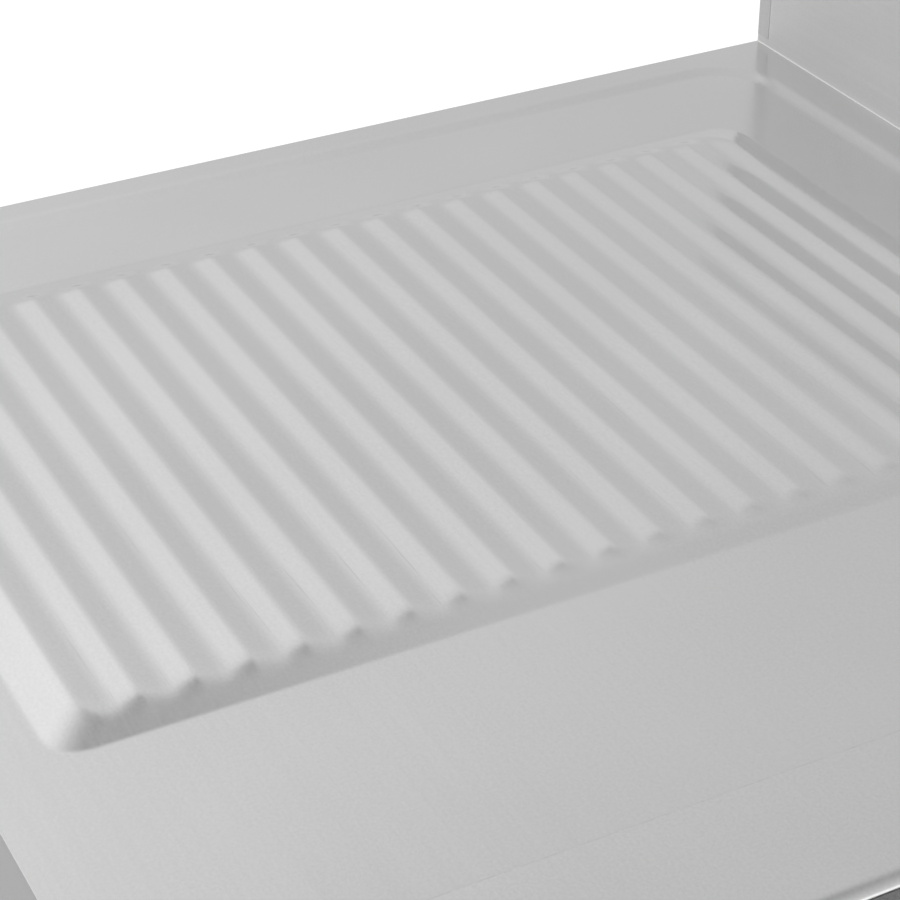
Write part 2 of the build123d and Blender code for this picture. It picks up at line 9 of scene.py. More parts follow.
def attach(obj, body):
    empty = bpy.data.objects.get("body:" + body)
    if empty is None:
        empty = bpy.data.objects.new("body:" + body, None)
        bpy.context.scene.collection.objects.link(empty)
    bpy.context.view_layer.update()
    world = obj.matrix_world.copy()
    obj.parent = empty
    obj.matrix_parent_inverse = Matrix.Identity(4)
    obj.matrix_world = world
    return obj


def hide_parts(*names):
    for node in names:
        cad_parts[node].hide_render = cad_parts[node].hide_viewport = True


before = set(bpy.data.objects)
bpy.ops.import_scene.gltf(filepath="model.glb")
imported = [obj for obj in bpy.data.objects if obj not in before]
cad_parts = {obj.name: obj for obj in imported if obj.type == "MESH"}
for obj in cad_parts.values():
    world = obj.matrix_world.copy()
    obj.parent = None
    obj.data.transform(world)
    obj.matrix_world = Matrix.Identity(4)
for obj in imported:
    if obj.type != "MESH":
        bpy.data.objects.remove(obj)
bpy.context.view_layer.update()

# Worktop: one sheet of satin stainless steel, 1.2 mm thick. It is pressed with a shallow recess and a
# raised drainer of 22 ribs, then folded down at the front and the ends and up into the splashback.
# Its cut-out takes the bowl's flange, and the tap hole is punched behind the bowl.
mm = 0.001
sheet = 1.2
half_length = 600.0
front_y = -300.0
splash_y = 285.0
back_y = 300.0
rim_z = 900.0
apron_bottom_z = 860.0
apron_return = 12.0
skirt_top_z = 893.0
skirt_low_z = 864.0
splash_top_z = 1000.0
splash_levels = (912.0, 955.0, 990.0)
cap_foot_z = 904.2
cap_x = 590.0
cap_seam = 0.12
seam_width = 0.9
seam_clear = 1.0
front_bend = 0.2
end_bend = 0.2
hem_radius = 0.2
foot_radius = 0.9
top_radius = 2.0
recess_middle_y = -400.0
recess_side = 585.0
recess_back = 265.0
recess_corner = 36.0
recess_depth = 1.0
floor_z = rim_z - recess_depth
step_run = 10.0
step_steepness = 1.2
step_round = 0.25
pad_middle = (-354.5, -29.75)
pad_half = (162.5, 241.75)
pad_rise = 3.4
pad_corner_blend = 15.0
front_slope = 0.2125
back_slope = 0.27
side_foot_blend = 0.15
side_top_blend = 0.35
end_slope = 0.172
end_foot_blend = 0.22
end_top_blend = 0.944
near_nose_y = (-150.0, -50.0)
near_nose_start = (9.6, 13.0)
near_nose_run = (10.6, 6.0)
near_nose_round = 0.45
far_nose_start = 9.8
far_nose_run = 5.0
far_nose_round = 0.4
first_crest_y = -254.6
rib_pitch = 21.57
rib_count = 22
rib_depth = 1.1
rib_flank = 9.25
crest_round = 1.5
valley_round = 0.18
unrounded = 0.0001
flange_box = (-71.5, 517.5, -250.0, 200.0)
flange_corner = 30.0
weld_dip = 0.04
weld_run = 2.6
weld_waves = ((0.4, 0.31, 0.0), (0.3, 0.83, 1.0))
tap_hole = (242.5, 226.0, 17.5)
tap_margin = 22.0
corner_points = 13
bend_points = 7
same_line = 0.01


def rounded_ramp(share, foot, head):
    """A straight rise from 0 to 1 whose foot and head are rounded over these shares of the run."""
    rise = np.clip(share, 0, 1)
    rise = np.where(np.abs(share) < foot, (share + foot) ** 2 / (4 * foot), rise)
    return np.where(np.abs(share - 1) < head, 1 - (1 + head - share) ** 2 / (4 * head), rise)


def depth_inside(x, y, middle, half, corner):
    """How far a point lies inside a rectangle with rounded corners."""
    over_x = np.abs(x - middle[0]) - (half[0] - corner)
    over_y = np.abs(y - middle[1]) - (half[1] - corner)
    outside = np.hypot(np.maximum(over_x, 0), np.maximum(over_y, 0))
    return corner - outside - np.minimum(np.maximum(over_x, over_y), 0)


def blend_share(one, other, blend):
    """How far a place belongs to the lower one of two heights, from 0 to 1."""
    return np.clip(0.5 + 0.5 * (other - one) / blend, 0, 1)


def lower_of(one, other, blend):
    """The lower of two heights, rounded over where they cross."""
    share = blend_share(one, other, blend)
    return other * (1 - share) + one * share - blend * share * (1 - share)


def slope_up(reach, slope, foot_blend):
    """A slope that starts from the flat deck with a small rounded foot."""
    return -lower_of(-slope * reach, np.zeros_like(reach), foot_blend)


def rib_fall(y):
    """How far down its flank a place across the ribs lies, from 0 on a crest to 1 in a valley."""
    from_crest = np.abs((y - first_crest_y + rib_pitch / 2) % rib_pitch - rib_pitch / 2)
    on_crest = from_crest ** 2 / (2 * crest_round) + crest_round / 2
    eased_off = np.where(from_crest < crest_round, on_crest, from_crest)
    fall = rounded_ramp(eased_off / rib_flank, unrounded, valley_round)
    last_crest_y = first_crest_y + rib_pitch * (rib_count - 1)
    return np.where((y > first_crest_y) & (y < last_crest_y), fall, 0)


def pressed_height(x, y):
    """The height of the pressed sheet's top at a place on the deck, in millimetres."""
    recess_half = (recess_side, recess_back - recess_middle_y)
    recess = depth_inside(x, y, (0.0, recess_middle_y), recess_half, recess_corner) / step_run
    step = rounded_ramp(step_steepness * (recess - 0.5) + 0.5, step_round, step_round)
    from_end = pad_half[0] - np.abs(x - pad_middle[0])
    from_side = pad_half[1] - np.abs(y - pad_middle[1])
    reach = lower_of(from_end, from_side, pad_corner_blend)
    endness = blend_share(from_end, from_side, pad_corner_blend)
    fall = rib_fall(y)
    valley_level = np.full_like(reach, pad_rise - rib_depth)
    end = lower_of(slope_up(reach, end_slope, end_foot_blend), valley_level, end_top_blend)
    start = np.interp(y, near_nose_y, near_nose_start)
    run = np.interp(y, near_nose_y, near_nose_run)
    near_end = rounded_ramp((reach - start) / run, near_nose_round, near_nose_round)
    far_end = rounded_ramp((reach - far_nose_start) / far_nose_run, far_nose_round, far_nose_round)
    end = end + rib_depth * (1 - fall) * np.where(x > pad_middle[0], near_end, far_end)
    side_slope = np.where(y > pad_middle[1], back_slope, front_slope)
    side = slope_up(reach, side_slope, side_foot_blend)
    side = lower_of(side, pad_rise - rib_depth * fall, side_top_blend)
    return rim_z - recess_depth * step + end * endness + side * (1 - endness)


def lines(*stops):
    """Places along one direction, from (start, end, spacing) runs, each once and in order."""
    places = [np.linspace(a, b, max(1, round((b - a) / gap)) + 1) for a, b, gap in stops]
    return np.unique(np.round(np.concatenate(places), 4))


join_distance = 2e-6
least_edge = 1e-7
smooth_below = math.radians(40.0)


def metal_mesh(name, points, faces, body):
    """A mesh piece in metres from points in millimetres, joined where points meet, riding a body."""
    mesh = bpy.data.meshes.new(name)
    mesh.from_pydata([tuple(mm * c for c in p) for p in points], [], faces)
    shape = bmesh.new()
    shape.from_mesh(mesh)
    bmesh.ops.remove_doubles(shape, verts=shape.verts, dist=join_distance)
    bmesh.ops.dissolve_degenerate(shape, edges=shape.edges, dist=least_edge)
    bmesh.ops.recalc_face_normals(shape, faces=shape.faces)
    for edge in shape.edges:
        edge.smooth = len(edge.link_faces) == 2 and edge.calc_face_angle(0.0) < smooth_below
    for face in shape.faces:
        face.smooth = True
    shape.to_mesh(mesh)
    shape.free()
    piece = bpy.data.objects.new(name, mesh)
    bpy.context.scene.collection.objects.link(piece)
    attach(piece, body)
    return piece


def strip_faces(rows, columns, start=0, keep=None):
    """Four-sided faces of a sheet of points that is given row by row."""
    faces = []
    for i in range(rows - 1):
        for j in range(columns - 1):
            if keep is None or keep(i, j):
                a = start + i * columns + j
                faces.append((a, a + columns, a + columns + 1, a + 1))
    return faces


def thickened(piece):
    """Gives a sheet piece its thickness, inwards from its outer face."""
    thick = piece.modifiers.new("sheet", "SOLIDIFY")
    thick.thickness = mm * sheet
    thick.offset = -1.0


# The deck's mesh lines, close together where the sheet bends and wide apart where it is flat.
flat_x = half_length - end_bend
flat_y = front_y + front_bend
foot_y = splash_y - foot_radius
left, right, near, far = flange_box
tap_x, tap_y, tap_radius = tap_hole
beside_bend = 0.15
end_line = flat_x - beside_bend
front_line = flat_y + beside_bend
foot_line = foot_y - beside_bend
closest_lines = 0.12
deck_x = lines(
    (-flat_x, -end_line, beside_bend), (-end_line, -574.0, 1.5), (-574.0, -546.0, 2.0),
    (-546.0, -520.0, 13.0), (-520.0, -492.0, 1.0), (-492.0, -218.0, 137.0), (-218.0, -189.0, 1.0),
    (-189.0, left - weld_run, 58.0), (left - weld_run, left, 2.0), (left, left + flange_corner, 6.0),
    (left + flange_corner, tap_x - tap_margin, 131.0), (tap_x - tap_margin, tap_x + tap_margin, 7.4),
    (tap_x + tap_margin, right - flange_corner, 112.0), (right - flange_corner, right, 6.0),
    (right, 546.0, 28.5), (546.0, 574.0, 4.0), (574.0, end_line, 2.0), (end_line, flat_x, beside_bend),
)
ribs_from_y = -253.0
ribs_to_y = 193.0
rib_stops = np.array([0.0, 0.8, 1.5, 2.8, 5.2, 7.5, 8.3, 9.0, 9.6, 10.2])
rib_stops = np.concatenate([-rib_stops, rib_stops, [rib_pitch / 2]])
rib_places = np.concatenate([first_crest_y + rib_pitch * n + rib_stops for n in range(rib_count)])
rib_places = rib_places[(rib_places > ribs_from_y) & (rib_places < ribs_to_y)]
plain_places = lines(
    (flat_y, front_line, beside_bend), (front_line, flat_y + 3.0, 1.5), (flat_y + 3.0, -274.0, 6.8),
    (-274.0, ribs_from_y, 1.0), (ribs_to_y, far, 1.0), (far, tap_y - tap_margin, 1.0),
    (tap_y - tap_margin, tap_y + tap_margin, 5.5), (210.0, 214.0, 1.0), (tap_y, 248.0, 2.75),
    (248.0, 268.0, 1.25), (268.0, foot_line, 3.5), (foot_line, foot_y, beside_bend),
    (near, near + flange_corner, 5.0), (far - flange_corner, far, 5.0),
)
deck_y = np.unique(np.round(np.concatenate([plain_places, rib_places]), 4))
deck_y = deck_y[np.concatenate([[True], np.diff(deck_y) > closest_lines])]
grid_x, grid_y = np.meshgrid(deck_x, deck_y, indexing="ij")
grid_z = pressed_height(grid_x, grid_y)
at_weld = np.abs(grid_x - left) < same_line
at_weld &= (grid_y > near + flange_corner) & (grid_y < far - flange_corner)
wander = sum((size * np.sin(rate * grid_y + shift) for size, rate, shift in weld_waves), 1)
grid_z = grid_z - np.where(at_weld, weld_dip * wander, 0)
points = list(zip(grid_x.ravel(), grid_y.ravel(), grid_z.ravel()))


def sheet_metal_here(i, j):
    """Whether the deck has metal between these two neighbouring lines each way."""
    x = (deck_x[i] + deck_x[i + 1]) / 2
    y = (deck_y[j] + deck_y[j + 1]) / 2
    in_cut_out = left < x < right and near < y < far
    at_tap = abs(x - tap_x) < tap_margin and abs(y - tap_y) < tap_margin
    return not in_cut_out and not at_tap


faces = strip_faces(len(deck_x), len(deck_y), 0, sheet_metal_here)

# The rounded corners of the cut-out, filled between the deck's lines and the arc.
cut_out_corners = ((left, near, 1, 1), (right, near, -1, 1), (left, far, 1, -1), (right, far, -1, -1))
for corner_x, corner_y, side_x, side_y in cut_out_corners:
    along_y = [y for y in deck_y if 0 < (y - corner_y) * side_y <= flange_corner]
    along_x = [x for x in deck_x if 0 < (x - corner_x) * side_x <= flange_corner]
    along_y.sort(key=lambda y: abs(y - corner_y))
    along_x.sort(key=lambda x: -abs(x - corner_x))
    outline = [(corner_x, corner_y, floor_z)] + [(corner_x, y, floor_z) for y in along_y]
    for turn in np.linspace(0, math.pi / 2, corner_points)[1:-1]:
        reach_x = flange_corner * (1 - math.cos(turn))
        reach_y = flange_corner * (1 - math.sin(turn))
        outline.append((corner_x + side_x * reach_x, corner_y + side_y * reach_y, floor_z))
    outline += [(x, corner_y, floor_z) for x in along_x]
    start = len(points)
    points += outline
    faces += [(start, start + n, start + n + 1) for n in range(1, len(outline) - 1)]

# The ring of metal between the deck's lines and the tap hole.
square_x = [x for x in deck_x if abs(x - tap_x) <= tap_margin + same_line]
square_y = [y for y in deck_y if abs(y - tap_y) <= tap_margin + same_line]
around = [(x, square_y[0]) for x in square_x[:-1]] + [(square_x[-1], y) for y in square_y[:-1]]
around += [(x, square_y[-1]) for x in square_x[:0:-1]] + [(square_x[0], y) for y in square_y[:0:-1]]
start = len(points)
for x, y in around:
    inward = tap_radius / math.hypot(x - tap_x, y - tap_y)
    points += [(x, y, floor_z), (tap_x + (x - tap_x) * inward, tap_y + (y - tap_y) * inward, floor_z)]
for n in range(len(around)):
    a = start + 2 * n
    b = start + 2 * ((n + 1) % len(around))
    faces.append((a, b, b + 1, a + 1))

# The folded skirt: its stations run down the left end, round to the front, and up the right end.
bend = np.linspace(0, math.pi / 2, bend_points)
hem = [(math.cos(t), apron_bottom_z + hem_radius * (1 - math.sin(t))) for t in bend]
turns = [(end_bend * math.cos(t), front_bend * math.sin(t)) for t in bend[1:-1]]
stations = [(-flat_x, y, -end_bend, 0.0, end_bend) for y in deck_y[::-1]]
stations += [(-flat_x, flat_y, -a, -b, max(end_bend, b)) for a, b in turns]
stations += [(x, flat_y, 0.0, -front_bend, front_bend) for x in deck_x]
stations += [(flat_x, flat_y, a, -b, max(end_bend, b)) for a, b in reversed(turns)]
stations += [(flat_x, y, end_bend, 0.0, end_bend) for y in deck_y]
inner = half_length - apron_return
start = len(points)
for x, y, out_x, out_y, radius in stations:
    top = float(pressed_height(np.float64(x), np.float64(y)))
    profile = [(math.sin(t), top - radius * (1 - math.cos(t))) for t in bend]
    profile += [(1.0, skirt_top_z), (1.0, skirt_low_z)]
    tuck = hem_radius / math.hypot(out_x, out_y)
    profile += [(1 - tuck + tuck * out, z) for out, z in hem]
    points += [(x + out_x * reach, y + out_y * reach, z) for reach, z in profile]
    points.append((max(-inner, min(inner, x)), max(front_y + apron_return, y), apron_bottom_z))
faces += strip_faces(len(stations), 2 * len(bend) + 3, start)


def splash_outline(inset):
    """The splashback's section above its caps' feet, up the face, over the top and down the back."""
    face_y = splash_y + inset
    rear_y = back_y - inset
    crown = splash_top_z - top_radius
    radius = top_radius - inset
    outline = [(face_y, z) for z in (cap_foot_z, *splash_levels)]
    outline += [(face_y + radius * (1 - math.cos(t)), crown + radius * math.sin(t)) for t in bend]
    outline += [(rear_y - radius * (1 - math.sin(t)), crown + radius * math.cos(t)) for t in bend]
    return outline + [(rear_y, splash_levels[1]), (rear_y, cap_foot_z)]


# The splashback: up from its foot's bend, over its top, and down the back to a return under the deck.
# Its ends are drawn in a little where the caps meet it.
rise = [(foot_y + foot_radius * math.sin(t), rim_z + foot_radius * (1 - math.cos(t))) for t in bend]
rise += [(splash_y, cap_foot_z)]
fall = [(back_y, cap_foot_z), (back_y, skirt_low_z)]
fall += [(back_y - hem_radius * (1 - out), z) for out, z in hem]
fall += [(back_y - apron_return, apron_bottom_z)]
wide_x = np.concatenate([[-half_length], deck_x, [half_length]])
for run, across in ((rise, deck_x), (fall, wide_x)):
    start = len(points)
    points += [(x, y, z) for x in across for y, z in run]
    faces += strip_faces(len(across), len(run), start)
seam_x = cap_x - seam_width
between_seams = deck_x[np.abs(deck_x) < seam_x - seam_clear]
tall_x = np.concatenate([[-cap_x, -seam_x], between_seams, [seam_x, cap_x]])
start = len(points)
for x in tall_x:
    points += [(x, y, z) for y, z in splash_outline(cap_seam if abs(x) > seam_x else 0.0)]
faces += strip_faces(len(tall_x), len(splash_outline(0.0)), start)

# The ends of the splashback's foot: the end's bend runs up its curve, and a flat cheek closes the rest.
for side in (-1, 1):
    start = len(points)
    for t, (y, z) in zip([*bend, math.pi / 2], rise):
        hub_y = y + end_bend * math.sin(t)
        hub_z = z - end_bend * math.cos(t)
        for turn in bend:
            lift = end_bend * math.cos(turn)
            out = flat_x + end_bend * math.sin(turn)
            points.append((side * out, hub_y - lift * math.sin(t), hub_z + lift * math.cos(t)))
        points.append((side * half_length, hub_y, skirt_low_z))
    faces += strip_faces(len(rise), len(bend) + 1, start)
    start = len(points)
    cheek_z = (cap_foot_z, skirt_low_z, apron_bottom_z)
    points += [(side * half_length, y, z) for y in (splash_y + end_bend, back_y) for z in cheek_z]
    faces += strip_faces(2, len(cheek_z), start)

worktop = metal_mesh("worktop_sheet", points, faces, "unit")
thickened(worktop)
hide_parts("worktop")


def place(tree, kind, x, y, **values):
    """Puts one node in a tree, with its plain values set on its own sockets."""
    node = tree.nodes.new(kind)
    node.location = (x, y)
    for name, value in values.items():
        if name in node.inputs:
            node.inputs[name].default_value = value
        else:
            setattr(node, name, value)
    return node


def feed(tree, socket, value):
    """Gives a node's input its value, from another node's output or as a plain number or colour."""
    if isinstance(value, bpy.types.NodeSocket):
        tree.links.new(value, socket)
    else:
        socket.default_value = value


def spot(tree, x, y, kind="Object"):
    """The place that is being shaded, as a vector."""
    return place(tree, "ShaderNodeTexCoord", x, y).outputs[kind]


def parts_of(tree, x, y, vector):
    """A vector's parts along X, Y and Z."""
    node = place(tree, "ShaderNodeSeparateXYZ", x, y)
    tree.links.new(vector, node.inputs[0])
    return node.outputs


def scaled(tree, x, y, vector, by):
    """A vector with each of its parts multiplied."""
    node = place(tree, "ShaderNodeVectorMath", x, y, operation="MULTIPLY")
    feed(tree, node.inputs[0], vector)
    feed(tree, node.inputs[1], by)
    return node.outputs["Vector"]


def noise(tree, x, y, where, scale, detail, roughness):
    """Soft noise over the surface."""
    node = place(tree, "ShaderNodeTexNoise", x, y, Detail=detail, Roughness=roughness)
    feed(tree, node.inputs["Vector"], where)
    feed(tree, node.inputs["Scale"], scale)
    return node.outputs["Fac"]


def remap(tree, x, y, source, low, high, to_low=0.0, to_high=1.0):
    """A value carried softly from one range to another, and held at both ends."""
    node = place(tree, "ShaderNodeMapRange", x, y, interpolation_type="SMOOTHSTEP")
    for name, value in zip(("From Min", "From Max", "To Min", "To Max"), (low, high, to_low, to_high)):
        node.inputs[name].default_value = value
    tree.links.new(source, node.inputs["Value"])
    return node.outputs["Result"]


def arithmetic(tree, x, y, operation, one, other=0.0):
    """One operation on two values, each an output of a node or a plain number."""
    node = place(tree, "ShaderNodeMath", x, y, operation=operation)
    feed(tree, node.inputs[0], one)
    feed(tree, node.inputs[1], other)
    return node.outputs["Value"]


def mixed(tree, x, y, label, one, other, share):
    """A colour between two others, each an output of a node or a plain colour."""
    node = place(tree, "ShaderNodeMix", x, y, data_type="RGBA", label=label)
    tree.links.new(share, node.inputs["Factor"])
    feed(tree, node.inputs[6], one)
    feed(tree, node.inputs[7], other)
    return node.outputs[2]


def metres(sizes):
    """Sizes in millimetres as metres."""
    return [mm * size for size in sizes]


def grey(value):
    """A plain grey as a colour."""
    return (value, value, value, 1.0)


def new_material(name):
    """An empty material, with its tree and its shader."""
    material = bpy.data.materials.new(name)
    material.use_nodes = True
    return material, material.node_tree, material.node_tree.nodes["Principled BSDF"]


grain_range = (0.3, 0.7)


def add_surface(tree, shader, grain, sheen, height, bump, depth):
    """Lets a material's sheen follow its grain, and its surface follow a height of this depth."""
    tree.links.new(remap(tree, -500, -50, grain, *grain_range, *sheen), shader.inputs["Roughness"])
    lift = place(tree, "ShaderNodeBump", -250, -300, Strength=bump, Distance=depth)
    tree.links.new(height, lift.inputs["Height"])
    tree.links.new(lift.outputs["Normal"], shader.inputs["Normal"])


grain_along = (9.0, 620.0, 620.0)
grain_back = (620.0, 9.0, 620.0)
grain_up = (620.0, 620.0, 9.0)
scratch_spread = (0.3, 0.42, 0.42)
scratch_share = (0.68, 0.76)
grain_depth = 0.0001
tone_range = (0.7, 1.3)


def worked_metal_group():
    """Worked metal's fine detail: a drawn grain, soft clouding, fine speckle and a few long scratches."""
    group = bpy.data.node_groups.new("worked_metal", "ShaderNodeTree")
    stretch = group.interface.new_socket("Stretch", in_out="INPUT", socket_type="NodeSocketVector")
    stretch.default_value = grain_along
    given = place(group, "NodeGroupInput", -1200, 200)
    where = spot(group, -1200, 0)
    drawn = scaled(group, -900, 200, where, given.outputs["Stretch"])
    coarse = scaled(group, -700, -300, drawn, scratch_spread)
    scratch = noise(group, -400, -300, coarse, scale=1.0, detail=1.0, roughness=0.4)
    found = {
        "Grain": noise(group, -400, 250, drawn, scale=1.0, detail=3.0, roughness=0.65),
        "Cloud": noise(group, -400, 0, where, scale=7.0, detail=2.0, roughness=0.5),
        "Speckle": noise(group, -400, -150, where, scale=850.0, detail=2.0, roughness=0.6),
        "Scratch": remap(group, -100, -300, scratch, *scratch_share),
    }
    for name in found:
        group.interface.new_socket(name, in_out="OUTPUT", socket_type="NodeSocketFloat")
    results = place(group, "NodeGroupOutput", 500, 0)
    for name, value in found.items():
        group.links.new(value, results.inputs[name])
    return group


worked_metal = worked_metal_group()


def worked_steel(name, greys, sheen, bump, grain):
    """Bare steel between two greys by cloud and speckle, whose sheen and surface follow its grain."""
    material, tree, shader = new_material(name)
    shader.inputs["Metallic"].default_value = 1.0
    detail = place(tree, "ShaderNodeGroup", -900, 0, node_tree=worked_metal)
    detail.inputs["Stretch"].default_value = grain
    tone = arithmetic(tree, -700, 200, "ADD", detail.outputs["Cloud"], detail.outputs["Speckle"])
    tone = remap(tree, -500, 200, tone, *tone_range)
    colour = mixed(tree, -300, 200, "tone", grey(greys[0]), grey(greys[1]), tone)
    tree.links.new(colour, shader.inputs["Base Color"])
    height = arithmetic(tree, -500, -300, "SUBTRACT", detail.outputs["Grain"], detail.outputs["Scratch"])
    add_surface(tree, shader, detail.outputs["Grain"], sheen, height, bump, grain_depth)
    return material


def coloured_so_far(material):
    """A material's tree, its shader, and what feeds its colour so far."""
    tree = material.node_tree
    shader = tree.nodes["Principled BSDF"]
    return tree, shader, shader.inputs["Base Color"].links[0].from_socket


marks_grey = 0.2
marks_most = 0.2
marks_grain = (22.0, 2300.0, 2300.0)
marks_share = (0.6, 0.72)
marks_valley = 0.54
marks_half_width = (0.02, 0.11)
marks_ease = 1.0
marks_near_bowl = (-330.0, -225.0)
marks_away = 0.35
marks_near_end = (-212.0, -206.0)
marks_far_end = (-503.0, -497.0)


def add_draw_marks(material):
    """Fine dark lines that the press tool leaves in the ribs' valleys, most of them at the bowl's end."""
    tree, shader, steel_colour = coloured_so_far(material)
    where = spot(tree, -1900, 900)
    parts = parts_of(tree, -1700, 900, where)
    from_first = arithmetic(tree, -1500, 800, "SUBTRACT", parts["Y"], mm * first_crest_y)
    rib = arithmetic(tree, -1300, 800, "DIVIDE", from_first, mm * rib_pitch)
    share = arithmetic(tree, -1100, 800, "FRACT", rib)
    from_valley = arithmetic(tree, -1000, 700, "SUBTRACT", share, marks_valley)
    from_valley = arithmetic(tree, -900, 800, "ABSOLUTE", from_valley)
    last = mm * rib_pitch * (rib_count - 1)
    masks = (
        remap(tree, -700, 800, from_valley, *marks_half_width, 1.0, 0.0),
        remap(tree, -1100, 600, from_first, 0.0, mm * marks_ease),
        remap(tree, -1100, 400, from_first, last - mm * marks_ease, last, 1.0, 0.0),
        remap(tree, -1300, 1000, parts["X"], *metres(marks_near_bowl), marks_away, 1.0),
        remap(tree, -1300, 1200, parts["X"], *metres(marks_near_end), 1.0, 0.0),
        remap(tree, -1300, 1300, parts["X"], *metres(marks_far_end)),
    )
    drawn = scaled(tree, -1500, 1400, where, marks_grain)
    marked = noise(tree, -1300, 1400, drawn, scale=1.0, detail=2.0, roughness=0.5)
    marked = remap(tree, -1000, 1400, marked, *marks_share, 0.0, marks_most)
    for n, mask in enumerate(masks):
        marked = arithmetic(tree, -900 + 130 * n, 1200, "MULTIPLY", marked, mask)
    colour = mixed(tree, -100, 500, "draw marks", steel_colour, grey(marks_grey), marked)
    tree.links.new(colour, shader.inputs["Base Color"])


# Painted light along the recess's step: a painted highlight at the back and painted shade at the ends.
painted_step_middle = 5.6
painted_step_half_width = (2.0, 7.0)
painted_step_turn = (12.0, 34.0)
painted_step_levels = (floor_z - 2.0, floor_z - 1.0)
painted_step_shade = -0.065
painted_step_highlight = 0.165


def add_painted_step_light(material):
    """A soft band along the recess's step, painted into the colour: a painted highlight along the back,
    painted shade at the ends.
    """
    tree, shader, steel_colour = coloured_so_far(material)
    parts = parts_of(tree, -2100, 1900, spot(tree, -2300, 1900))
    sideways = arithmetic(tree, -1900, 2000, "ABSOLUTE", parts["X"])
    past_side = arithmetic(tree, -1700, 2000, "SUBTRACT", sideways, mm * (recess_side - recess_corner))
    past_side = arithmetic(tree, -1500, 2000, "MAXIMUM", past_side, 0.0)
    past_back = arithmetic(tree, -1700, 1800, "SUBTRACT", parts["Y"], mm * (recess_back - recess_corner))
    past_back = arithmetic(tree, -1500, 1800, "MAXIMUM", past_back, 0.0)
    from_hub = place(tree, "ShaderNodeCombineXYZ", -1300, 1900)
    tree.links.new(past_side, from_hub.inputs["X"])
    tree.links.new(past_back, from_hub.inputs["Y"])
    reach = place(tree, "ShaderNodeVectorMath", -1100, 1900, operation="LENGTH")
    tree.links.new(from_hub.outputs["Vector"], reach.inputs[0])
    middle = mm * (recess_corner - painted_step_middle)
    off_line = arithmetic(tree, -900, 1900, "SUBTRACT", reach.outputs["Value"], middle)
    off_line = arithmetic(tree, -700, 1900, "ABSOLUTE", off_line)
    on_step = remap(tree, -500, 1900, off_line, *metres(painted_step_half_width), 1.0, 0.0)
    turned = arithmetic(tree, -900, 1700, "SUBTRACT", past_back, past_side)
    change = remap(tree, -500, 1700, turned, *metres(painted_step_turn), painted_step_shade, painted_step_highlight)
    on_deck = remap(tree, -500, 2100, parts["Z"], *metres(painted_step_levels))
    on_step = arithmetic(tree, -300, 2000, "MULTIPLY", on_step, on_deck)
    change = arithmetic(tree, -300, 1800, "MULTIPLY", change, on_step)
    # Painted light: the steel's colour is scaled up along the back of the step and down at its ends.
    step_lit_colour = place(tree, "ShaderNodeVectorMath", 100, 700, operation="SCALE", label="painted step light")
    tree.links.new(steel_colour, step_lit_colour.inputs[0])
    tree.links.new(arithmetic(tree, -100, 1800, "ADD", change, 1.0), step_lit_colour.inputs["Scale"])
    tree.links.new(step_lit_colour.outputs["Vector"], shader.inputs["Base Color"])


# The deck is polished smoother than the splashback and the front fold, which keep the sheet's first satin.
deck_steel = worked_steel(
    "deck_steel", greys=(0.585, 0.615), sheen=(0.17, 0.21), bump=0.03, grain=grain_along,
)
add_draw_marks(deck_steel)
add_painted_step_light(deck_steel)
# The splashback and the front fold get a paler grey than the deck's steel: painted light on their faces.
splash_steel = worked_steel(
    "splash_steel", greys=(0.69, 0.715), sheen=(0.53, 0.59), bump=0.03, grain=grain_along,
)
worktop.data.materials.append(deck_steel)
worktop.data.materials.append(splash_steel)
satin_above_z = rim_z + 0.1
front_fold_z = rim_z - 2.0
for face in worktop.data.polygons:
    on_splash = face.center.z > mm * satin_above_z and face.center.y > mm * foot_y
    on_front_fold = face.center.z > mm * front_fold_z and face.center.y < mm * flat_y
    face.material_index = int(on_splash or on_front_fold)

# Splashback end caps: small cups folded from the same sheet, pushed on to the splashback's open ends,
# welded and ground back, so that only a fine seam shows.
cap_edge = 0.15


def dress(material, edge, *names):
    """Gives CAD pieces their material, and takes their sharp edges off by this many millimetres."""
    for name in names:
        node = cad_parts[name]
        node.data.materials.clear()
        node.data.materials.append(material)
        if edge:
            broken = node.modifiers.new("broken_edges", "BEVEL")
            broken.width = mm * edge
            broken.segments = 2
            broken.limit_method = "ANGLE"
            broken.angle_limit = math.radians(35.0)
            broken.harden_normals = True


cap_steel = worked_steel("cap_steel", greys=(0.61, 0.635), sheen=(0.48, 0.54), bump=0.03, grain=grain_up)
dress(cap_steel, cap_edge, "splashback_cap_left", "splashback_cap_right")

# Bowl: a tub drawn from the same satin sheet. Its flange fills the worktop's cut-out and is welded in,
# its lip is rolled over into upright walls, and a round recess in its floor takes the waste.
bowl_box = (-8.6, 492.5, -225.0, 175.0)
bowl_corner = 50.0
lip_roll = 11.0
lip_edge = 2.0
lip_turn = math.radians(34.0)
lip_points = 9
bottom_radius = 35.0
bottom_points = 10
side_points = 9
bowl_floor_z = 649.0
wall_levels = (892.0, 885.0, 800.0, 700.0)
waste_middle = (397.5, 80.0)
waste_x, waste_y = waste_middle
waste_recess = ((50.0, 649.0), (48.6, 648.7), (48.0, 648.0), (47.6, 645.4), (47.0, 645.0), (26.0, 645.0))
weld_gap = 0.035


